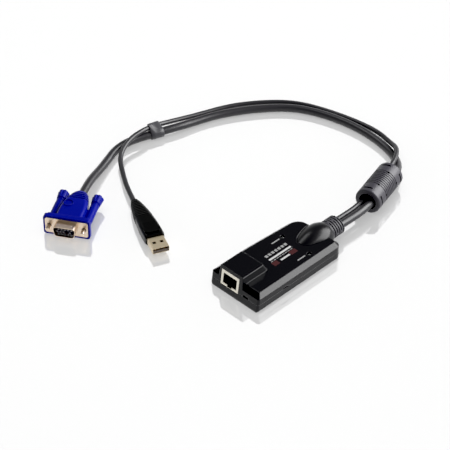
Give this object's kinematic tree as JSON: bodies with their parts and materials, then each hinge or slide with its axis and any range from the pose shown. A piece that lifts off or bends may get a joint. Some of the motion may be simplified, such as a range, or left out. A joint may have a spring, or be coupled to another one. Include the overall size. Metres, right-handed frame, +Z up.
{
  "type": "kvm dongle",
  "caption": "Small bevelled computer interface module with a network jack in front and captive cables to a 15-way video plug and a USB plug, through a ferrite choke.",
  "frame": {"origin": "centre of the housing's underside, on the surface it stands on", "axes": "+Z up, -Y out of the network jack, +Y along the housing toward the cable exit, +X to the right seen from the jack"},
  "size_m": [0.1988, 0.2532, 0.0194],
  "materials": {
    "cover_black": "gloss",
    "cover_grey": "satin",
    "screw_steel": "zinc plated",
    "board_green": "solder mask",
    "chip_black": "moulded epoxy",
    "can_metal": "satin",
    "ceramic_tan": "ceramic",
    "led_clear": "clear epoxy, unlit",
    "tin_plate": "tinned",
    "header_white": "nylon",
    "lead_jacket": "PVC insulation",
    "jack_metal": "nickel plated",
    "jack_black": "moulded nylon",
    "contact_gold": "gold plated",
    "moulding_grey": "satin PVC",
    "cable_jacket": "smooth PVC",
    "ferrite_dark": "sintered",
    "sleeve_black": "satin PVC",
    "hood_blue": "satin PVC",
    "plug_metal": "nickel plated",
    "insert_black": "moulded",
    "grip_black": "satin PVC",
    "insert_white": "moulded"
  },
  "bodies": {
    "module": {"top_cover": "cover_black", "bottom_cover": "cover_grey", "cover_screws": "screw_steel", "circuit_board": "board_green", "main_chip": "chip_black", "video_chip": "chip_black", "crystal": "can_metal", "capacitors": "can_metal", "chip_parts": "ceramic_tan", "status_leds": "led_clear", "led_legs": "tin_plate", "video_header": "header_white", "usb_header": "header_white", "vga_leads": "lead_jacket", "usb_leads": "lead_jacket", "jack_shield": "jack_metal", "jack_body": "jack_black", "jack_contacts": "contact_gold", "strain_relief": "moulding_grey", "vga_cable": "cable_jacket", "usb_cable": "cable_jacket", "ferrite_core": "ferrite_dark", "ferrite_cover": "moulding_grey", "cable_sleeve": "sleeve_black", "vga_hood": "hood_blue", "vga_shell": "plug_metal", "vga_insert": "insert_black", "vga_pins": "contact_gold", "usb_grip": "grip_black", "usb_shell": "plug_metal", "usb_tongue": "insert_white", "usb_contacts": "contact_gold"},
    "left_screw": {"left_jackscrew": "plug_metal", "left_knob": "hood_blue"},
    "right_screw": {"right_jackscrew": "plug_metal", "right_knob": "hood_blue"}
  },
  "joints": [
    {"name": "left_screw_turn", "type": "hinge", "parent": "module", "child": "left_screw", "pos_m": [-0.13794, -0.08352, 0.00785], "axis": [-0.5255, 0.8508, 0], "continuous": true},
    {"name": "right_screw_turn", "type": "hinge", "parent": "module", "child": "right_screw", "pos_m": [-0.11667, -0.07038, 0.00785], "axis": [-0.5255, 0.8508, 0], "continuous": true}
  ]
}
